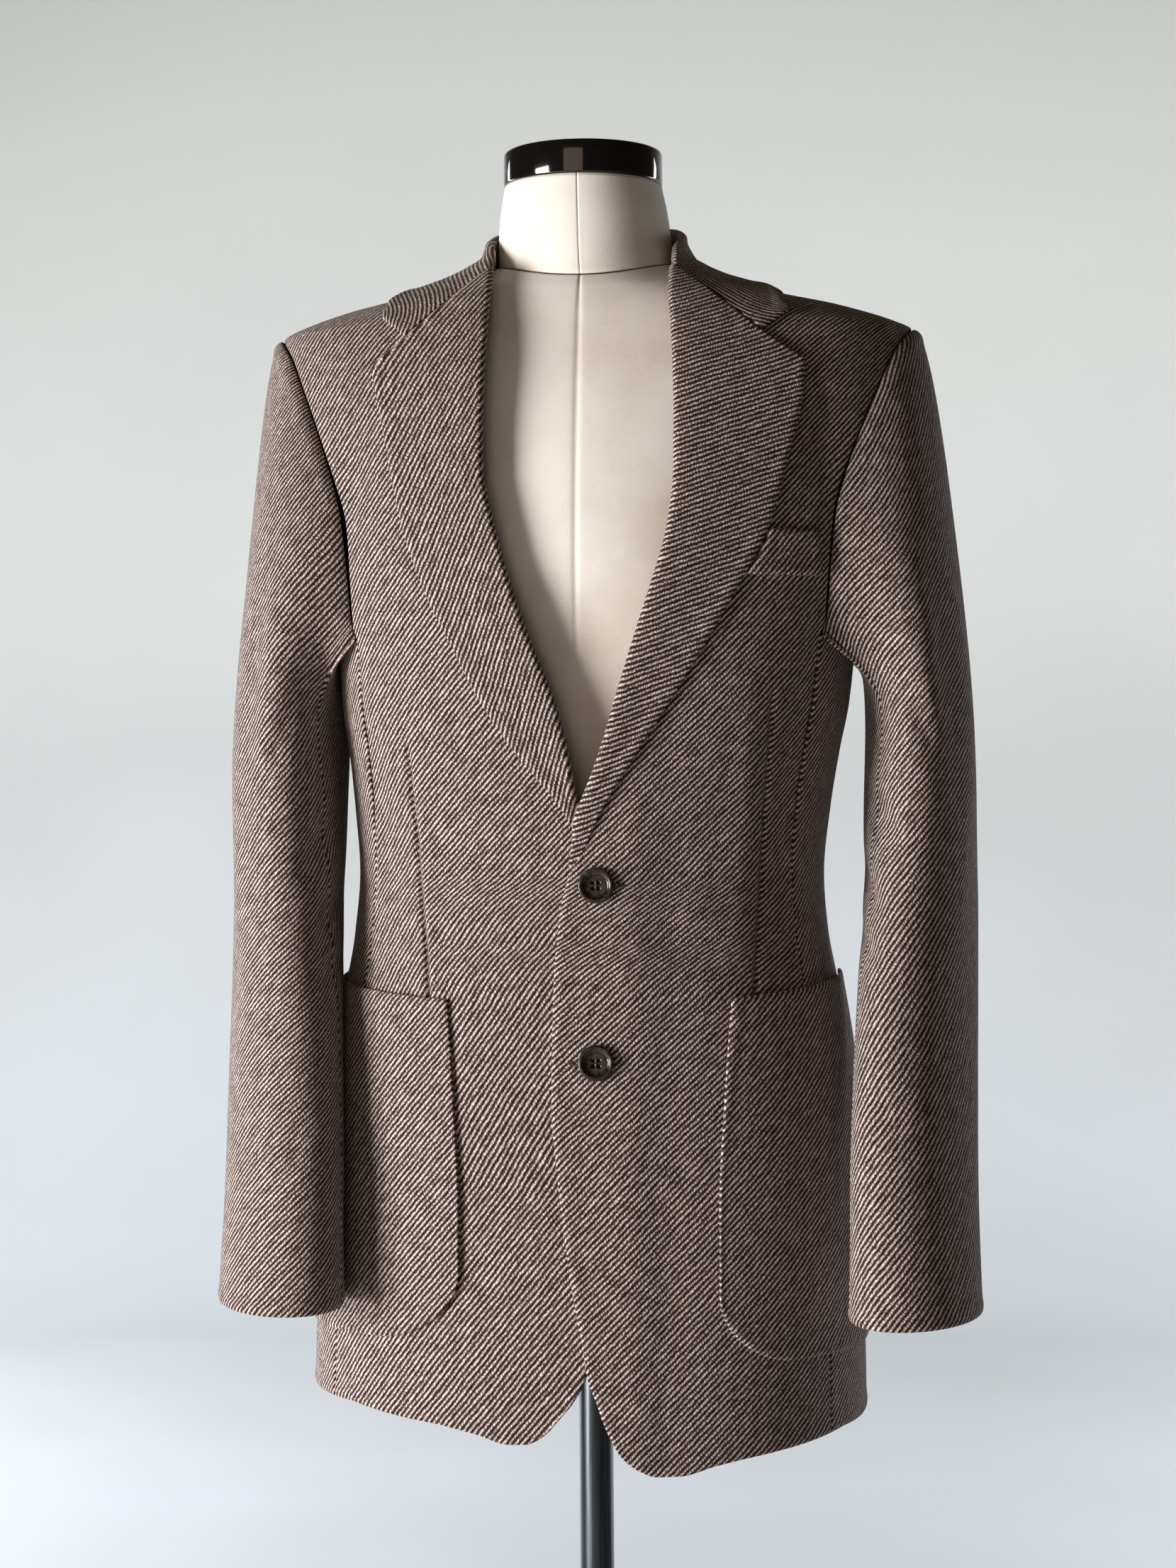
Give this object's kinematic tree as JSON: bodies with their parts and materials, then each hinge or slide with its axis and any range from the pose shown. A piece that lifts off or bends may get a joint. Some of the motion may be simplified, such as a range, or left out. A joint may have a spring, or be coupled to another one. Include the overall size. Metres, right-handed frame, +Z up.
{
  "type": "tweed jacket on a dress form",
  "caption": "Single-breasted tweed jacket with notched lapels and patch pockets, on a limbless dress form with a pole and a round base.",
  "frame": {"origin": "centre of the base's underside, on the floor", "axes": "+Z up along the pole, the jacket's front faces -Y, the wearer's left is +X"},
  "size_m": [0.4808, 0.42, 1.531],
  "materials": {
    "tweed": "coarse brown and cream twill",
    "horn": "mottled dark brown",
    "canvas": "ivory canvas",
    "black_lacquer": "gloss black",
    "dark_steel": "satin dark grey"
  },
  "bodies": {
    "root": {"front_left": "tweed", "front_right": "tweed", "side_left": "tweed", "side_right": "tweed", "back_left": "tweed", "back_right": "tweed", "lapel_left": "tweed", "lapel_right": "tweed", "collar": "tweed", "collar_stand": "tweed", "pocket_left": "tweed", "pocket_right": "tweed", "breast_welt": "tweed", "sleeve_top_left": "tweed", "sleeve_top_right": "tweed", "sleeve_under_left": "tweed", "sleeve_under_right": "tweed", "front_button_upper": "horn", "front_button_lower": "horn", "sleeve_button_left_1": "horn", "sleeve_button_left_2": "horn", "sleeve_button_right_1": "horn", "sleeve_button_right_2": "horn", "form_torso": "canvas", "form_neck": "canvas", "neck_cap": "black_lacquer", "pole": "dark_steel", "base": "dark_steel"}
  },
  "joints": []
}
